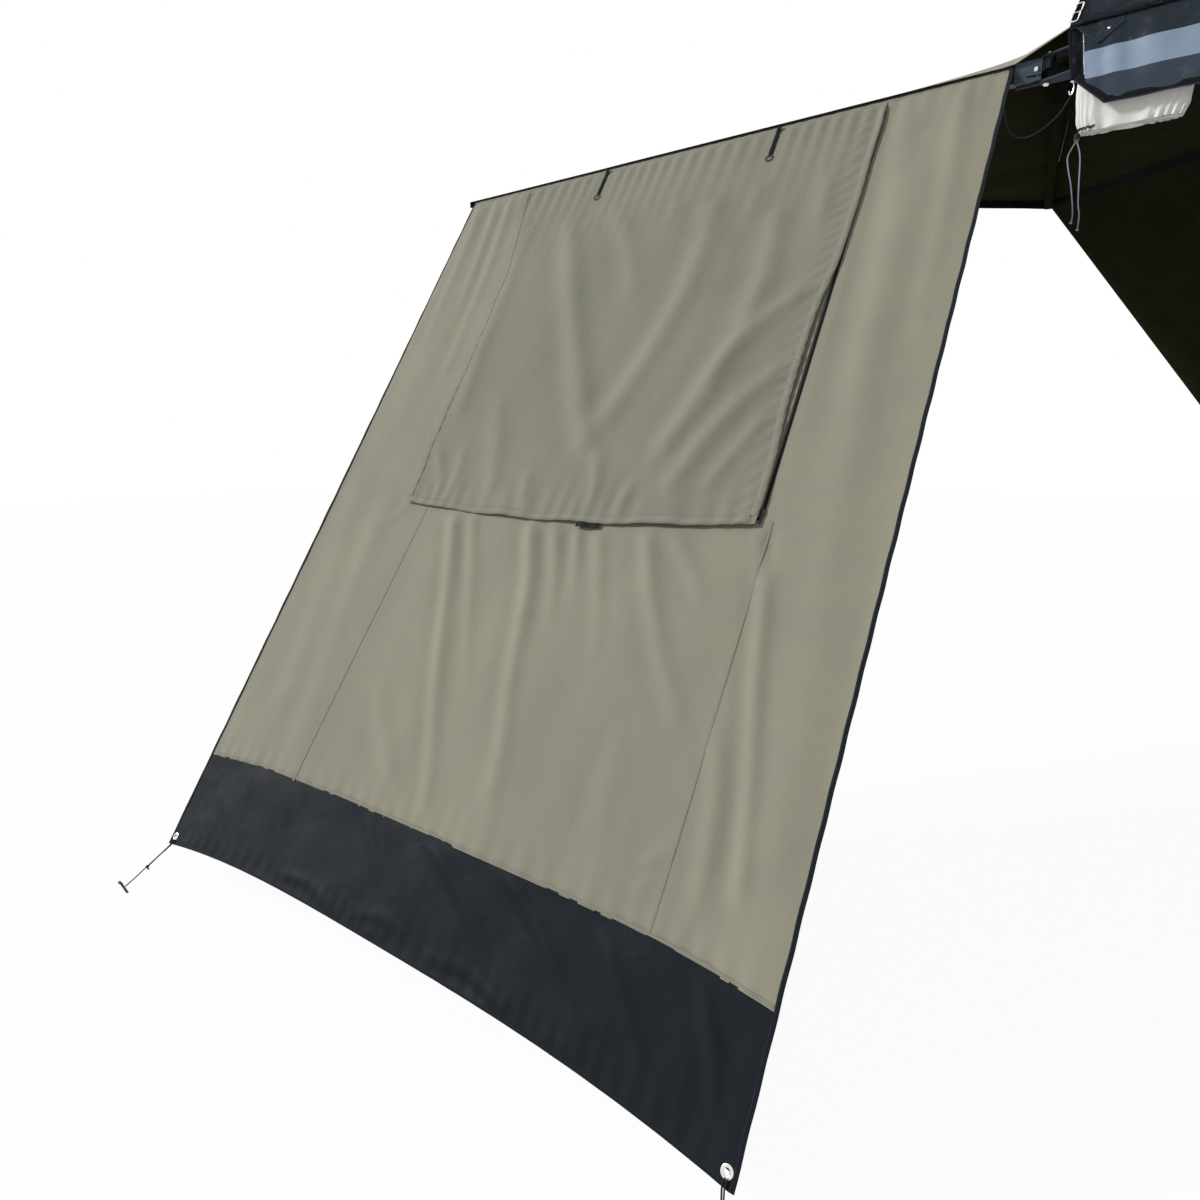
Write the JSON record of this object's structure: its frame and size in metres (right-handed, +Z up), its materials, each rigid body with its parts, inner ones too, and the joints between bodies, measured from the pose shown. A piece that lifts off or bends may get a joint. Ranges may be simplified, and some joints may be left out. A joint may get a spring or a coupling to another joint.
{
  "type": "fan awning",
  "caption": "Fan awning that swings out from a roof rack on hinged arms, with canopy, a sloping window wall that lifts, roll-up storm flap, guy ropes and an open travel bag.",
  "frame": {"origin": "middle of the rear rack bracket's foot, on its underside, where it rests on the roof rack's bar", "axes": "+X forwards along the mounting rail, +Y out under the canopy, +Z up"},
  "size_m": [5.354, 4.2685, 2.686],
  "materials": {
    "wall_canvas": "grey-beige ripstop canvas, matt",
    "flap_canvas": "grey-beige canvas, matt",
    "canopy_canvas": "grey-beige canvas, matt",
    "window_mesh": "black insect mesh",
    "skirt_fabric": "blue-black coated cloth, slight sheen",
    "black_trim": "black woven tape",
    "binding_tape": "dark blue-grey woven tape",
    "bag_fabric": "black coated bag cloth",
    "bag_lining": "pale blue-grey coated lining",
    "strap_webbing": "dark woven webbing",
    "cream_cotton": "cream cotton bag cloth",
    "pale_cord": "pale twisted cord",
    "black_rope": "black braided cord",
    "hub_paint": "dark satin powder coat",
    "knuckle_paint": "dark blue-grey satin powder coat",
    "bracket_paint": "black satin powder coat",
    "rail_aluminium": "anodised extrusion",
    "arm_aluminium": "dark anodised tube",
    "bolt_steel": "plated steel",
    "fitting_metal": "nickel plated",
    "peg_steel": "galvanised steel",
    "black_plastic": "moulded black plastic"
  },
  "bodies": {
    "root": {"mounting_rail": "rail_aluminium", "rail_end_cap": "black_plastic", "hub_plate_upper": "hub_paint", "hub_plate_lower": "hub_paint", "hub_bolt": "bolt_steel", "pivot_bolt": "bolt_steel", "pivot_nut": "bolt_steel", "rack_bracket_rear": "bracket_paint", "rack_bracket_front": "bracket_paint", "rack_bolt_rear": "bolt_steel", "rack_bolt_front": "bolt_steel", "apex_post": "black_plastic", "canopy_front_bay": "canopy_canvas", "far_wall_panel": "canopy_canvas", "travel_bag_roll": "bag_fabric", "travel_bag_cover": "bag_lining", "travel_bag_end_panel": "bag_fabric", "travel_bag_corner_flap": "bag_lining", "bag_strap": "strap_webbing", "bag_buckle": "fitting_metal", "peg_bag": "cream_cotton", "drawcord": "pale_cord", "elastic_cord": "black_rope", "cord_hook": "fitting_metal"},
    "far_arm": {"far_arm_knuckle": "knuckle_paint", "far_arm_knuckle_bolt": "bolt_steel", "far_arm_tube": "arm_aluminium", "far_arm_tip_cap": "black_plastic", "far_arm_sleeve": "canopy_canvas", "canopy_rear_bay": "canopy_canvas", "canopy_valance": "black_trim"},
    "near_arm": {"near_arm_knuckle": "knuckle_paint", "near_arm_knuckle_bolt": "bolt_steel", "near_arm_tube": "arm_aluminium", "near_arm_tip_cap": "black_plastic", "near_arm_track": "arm_aluminium"},
    "wall": {"wall_side_panel_left": "wall_canvas", "wall_side_panel_right": "wall_canvas", "wall_centre_panel": "wall_canvas", "window_mesh": "window_mesh", "window_cover": "wall_canvas", "window_zip": "black_trim", "wall_skirt": "skirt_fabric", "wall_top_piping": "black_trim", "wall_binding": "binding_tape", "eyelet_left": "fitting_metal", "eyelet_right": "fitting_metal", "guy_rope_left": "black_rope", "guy_rope_right": "black_rope", "peg_left": "peg_steel", "peg_right": "peg_steel"},
    "flap": {"storm_flap": "flap_canvas", "roll_strap_left": "strap_webbing", "roll_strap_right": "strap_webbing"},
    "ring_left": {"strap_ring_left": "fitting_metal"},
    "ring_right": {"strap_ring_right": "fitting_metal"},
    "slider_left": {"zip_slider_left": "fitting_metal"},
    "slider_right": {"zip_slider_right": "fitting_metal"},
    "lock": {"cord_lock": "black_plastic"}
  },
  "joints": [
    {"name": "far_arm_swing", "type": "hinge", "parent": "root", "child": "far_arm", "pos_m": [-0.5, 0.1461, 0.0267], "axis": [0, 0, 1], "range_deg": [-97.55, 0], "deforming": ["canopy_front_bay", "canopy_valance", "far_wall_panel"]},
    {"name": "near_arm_swing", "type": "hinge", "parent": "far_arm", "child": "near_arm", "pos_m": [-0.5, 0.1461, 0.0267], "axis": [0, 0, 1], "range_deg": [-82.45, 0], "deforming": ["canopy_rear_bay", "elastic_cord"]},
    {"name": "wall_lift", "type": "hinge", "parent": "near_arm", "child": "wall", "pos_m": [-0.578, 0.123, 0.0412], "axis": [-1, 0, 0], "range_deg": [0, 55]},
    {"name": "flap_lift", "type": "hinge", "parent": "wall", "child": "flap", "pos_m": [-0.916, 0.1126, 0.0337], "axis": [-1, 0, 0], "range_deg": [0, 85]},
    {"name": "ring_left_swing", "type": "hinge", "parent": "flap", "child": "ring_left", "pos_m": [-1.894, 0.0373, -0.0672], "axis": [-1, 0, 0], "range_deg": [0, 90]},
    {"name": "ring_right_swing", "type": "hinge", "parent": "flap", "child": "ring_right", "pos_m": [-1.232, 0.0373, -0.0672], "axis": [-1, 0, 0], "range_deg": [0, 90]},
    {"name": "slider_left_slide", "type": "slide", "parent": "wall", "child": "slider_left", "axis": [0, -0.5519, -0.8339], "range_m": [-1.25, 0]},
    {"name": "slider_right_slide", "type": "slide", "parent": "wall", "child": "slider_right", "axis": [0, -0.5519, -0.8339], "range_m": [-1.25, 0]},
    {"name": "cord_lock_slide", "type": "slide", "parent": "root", "child": "lock", "axis": [0, 0, -1], "range_m": [0, 0.06], "deforming": ["drawcord"]}
  ],
  "couplings": [
    {"joint": "near_arm_swing", "follows": "far_arm_swing", "ratio": 0.8452}
  ]
}
